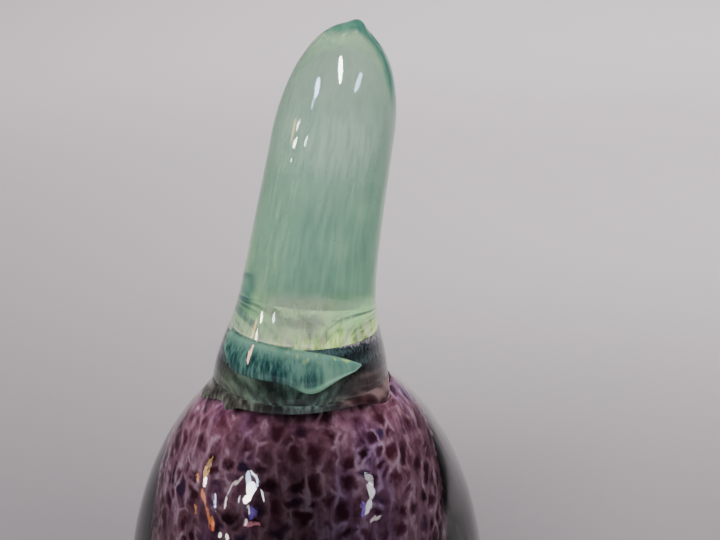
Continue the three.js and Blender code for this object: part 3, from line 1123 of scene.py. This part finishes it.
def glint(name, piece, skin, bearing, height, width, length, tilt, radiance, colour):
    """A lamp that only shows as a bright spot on one piece, where the skin mirrors it to the camera.

    Width and length are the spot's own, on the glass, and tilt is how far its length leans from
    upright, in degrees towards +X. The lamp spans what the spot's four ends mirror.
    """
    bearing = math.radians(bearing)
    tilt = math.radians(tilt)
    height = height * MM
    radius = skin(height)[0]

    def end(across, along):
        """What the skin mirrors so many mm across and along the spot from its middle."""
        right = across * math.cos(tilt) + along * math.sin(tilt)
        rise = along * math.cos(tilt) - across * math.sin(tilt)
        return mirrored(skin, bearing + right * MM / radius, height + rise * MM)[0]

    seat, met = mirrored(skin, bearing, height)
    away = (seat - met).normalized()
    across = end(width / 2, 0) - end(-width / 2, 0)
    along = end(0, length / 2) - end(0, -length / 2)
    along -= away * along.dot(away)
    tall = along.normalized()
    broad = tall.cross(away)
    face = Matrix((broad, tall, away)).transposed().to_quaternion()
    size = (abs(across.dot(broad)), along.length)
    made = lamp(name, seat, face, size, radiance, colour, [piece])
    made.data.shape = "ELLIPSE"
    made.data.energy *= math.pi / 4
    made.visible_glossy = True
    made.visible_diffuse = False
    made.visible_volume_scatter = False


def photo_camera():
    """The camera at the photograph's angle, looking down on the crown from in front."""
    data = bpy.data.cameras.new("camera")
    data.lens = 85
    data.sensor_width = 36
    data.clip_start = 0.01
    camera = bpy.data.objects.new("camera", data)
    camera.location = CAMERA_SEAT
    camera.rotation_euler = Euler((math.pi / 2 - CAMERA_PITCH, 0, 0))
    bpy.context.collection.objects.link(camera)
    bpy.context.scene.camera = camera


# The pieces.
streaks = drawn_streaks()
ripple = glass_ripple()
dress(heart_shape(), "clear_heart", heart_glass())
casing = dress(casing_shape(), "clear_casing", casing_glass(ripple))
frit = dress(frit_shape(), "frit_coat", frit_chips())
calyx = dress(calyx_shape(), "calyx",
              calyx_glass(streaks, "dark calyx glass", 0.4, (1.0, 1.0, 0.3), 0.0),
              calyx_glass(streaks, "calyx glass under the foot", 0.0, (1.0, 0.12, 1.0), 1.0))
foot = dress(foot_shape(), "clear_foot", foot_glass(streaks), fused_joint())
stem = dress(stem_shape(), "stem", stem_glass(streaks, ripple), stem_seam(streaks))
lap = dress(lap_shape(), "stem_lap", lap_glass(streaks, ripple))

# The room and its lamps. The first two light all of it, and each other one lights what it names.
floor = stage_sweep()
soft_room()
SOFT_WHITE = (0.97, 1, 1)
COOL_WHITE = (0.9, 1, 1)
softbox("far_softbox", (0.36, 1.05, 0.9), (0.36, 1.05, 0), (1.6, 0.6), 3.9,
        colour=SOFT_WHITE, spread=120)
softbox("near_softbox", (0.55, 0.44, 0.7), (0.55, 0.44, 0), (1.2, 0.15), 1.5,
        colour=SOFT_WHITE, spread=56)
softbox("front_softbox", round_about(192, 28, 1.6), CENTRE, (0.7, 0.3), 24.0,
        colour=COOL_WHITE, only=[floor])
softbox("right_front_softbox", round_about(150, 30, 1.6), CENTRE, (0.6, 0.4), 8.0,
        colour=COOL_WHITE, only=[floor])
crown_pieces = [calyx, foot, stem, lap]
for name, azimuth, elevation, radiance, only in (
        ("left_softbox", -85, 35, 19.0, [frit]),
        ("right_softbox", 85, 35, 22.5, [frit]),
        ("top_softbox", 0, 75, 5.0, [frit, *crown_pieces]),
        ("left_fill", -100, 40, 5.0, crown_pieces),
        ("right_fill", 100, 40, 6.0, crown_pieces),
        ("front_fill", 180, 40, 3.0, crown_pieces)):
    softbox(name, round_about(azimuth, elevation, 1.2), CENTRE, (0.7, 0.7), radiance, only=only)

# What the glass mirrors of the window and the lamps beside it. Each row has a name, the spot's
# bearing in degrees and height in mm, its width and length in mm, its tilt in degrees, its
# radiance and its colour.
DAYLIGHT = (0.92, 0.96, 1)
BLUE_SKY = (0.55, 0.70, 1)
LAMPLIGHT = (1, 0.93, 0.84)
GOLD = (1, 0.62, 0.18)
ORANGE = (1, 0.34, 0.09)
PEACH = (1, 0.60, 0.42)
EMBER = (1, 0.18, 0.06)
VIOLET = (0.32, 0.22, 1)
PINK = (1, 0.35, 0.48)
BODY_GLINTS = [
    ("pane_high", -22.5, 103, 1.4, 2.5, -30, 40, BLUE_SKY),
    ("pane_low", -20.5, 101, 1.4, 2.5, -25, 90, DAYLIGHT),
    ("pane_foot", -21, 99, 2.2, 2, -15, 140, LAMPLIGHT),
    ("arc_top", -20.5, 104, 0.5, 2, -70, 60, DAYLIGHT),
    ("arc_side", -18.5, 102.5, 0.6, 2.5, -15, 60, BLUE_SKY),
    ("arch_high", -26.5, 102, 0.4, 2.5, 45, 20, LAMPLIGHT),
    ("arch_low", -28.5, 100, 0.4, 3, 15, 16, LAMPLIGHT),
    ("arch_foot", -29.5, 97.5, 0.5, 2.5, 0, 30, LAMPLIGHT),
    ("dashes", -24.5, 98.5, 0.4, 1.5, 0, 40, DAYLIGHT),
    ("edge", -15.5, 100, 0.4, 2.5, -30, 45, DAYLIGHT),
    ("violet", -18.5, 96.5, 2.2, 2.5, -10, 6, VIOLET),
    ("violet_core", -20, 97, 0.5, 2, -10, 16, DAYLIGHT),
    ("pink", -18, 94.5, 1.4, 4, 80, 6, PINK),
    ("pink_core", -20.5, 94.5, 0.9, 1, -10, 16, LAMPLIGHT),
    ("mark_left", -29, 91, 0.7, 1.5, -10, 40, LAMPLIGHT),
    ("mark_right", -25.5, 91, 0.9, 1.5, -10, 40, LAMPLIGHT),
    ("slit", -34, 97.5, 0.6, 3.5, -20, 45, BLUE_SKY),
    ("drop", -41, 100, 1.0, 2.5, -30, 90, LAMPLIGHT),
    ("gold_top", -42.5, 104, 1.1, 2.5, -5, 7, GOLD),
    ("gold", -42.5, 102, 1.2, 2.5, -5, 14, GOLD),
    ("orange", -39, 97, 0.9, 4, -45, 12, ORANGE),
    ("orange_low", -34.5, 94, 0.9, 4.5, -45, 9, ORANGE),
    ("ember", -32.5, 92.5, 0.8, 2, -35, 14, EMBER),
    ("spark", -45, 100, 0.7, 2, -35, 13, ORANGE),
    ("spark_low", -41.5, 94.5, 0.7, 1.5, -25, 18, ORANGE),
    ("shard_top", 28, 102.5, 2.3, 2.5, 25, 9, DAYLIGHT),
    ("shard", 27, 100.5, 2.3, 3, 30, 17, DAYLIGHT),
    ("shard_low", 24.5, 97.5, 1.1, 4, 30, 14, DAYLIGHT),
    ("shard_shade", 22.5, 97, 0.7, 3.5, 20, 8, VIOLET),
    ("dash", 26.5, 94.5, 0.7, 3.5, 80, 9, LAMPLIGHT),
]
STEM_GLINTS = [
    ("bar", -4, 192.5, 1.0, 5.5, -10, 170, DAYLIGHT),
    ("bar_right", 19, 189.5, 1.1, 4, 25, 40, BLUE_SKY),
    ("wedge", -26.5, 188.5, 1.3, 3.5, -15, 70, BLUE_SKY),
    ("wedge_tail", -27, 185.5, 0.5, 3, 0, 26, BLUE_SKY),
    ("yellow", -41.5, 178.5, 0.6, 5.5, -5, 16, GOLD),
    ("white_drop", -36.5, 176, 0.8, 1.5, -5, 110, LAMPLIGHT),
    ("streak_high", -37.5, 131, 0.8, 3.5, -10, 60, LAMPLIGHT),
    ("fleck", -25.5, 135.5, 0.5, 2.5, -10, 50, DAYLIGHT),
]
LAP_GLINTS = [
    ("streak_low", -37.5, 128, 0.9, 4, 0, 35, PEACH),
]
for piece, skin, rows in ((casing, body_skin, BODY_GLINTS), (stem, stem_skin, STEM_GLINTS),
                          (lap, lap_skin, LAP_GLINTS)):
    for name, *spot_and_light in rows:
        glint(name, piece, skin, *spot_and_light)

photo_camera()
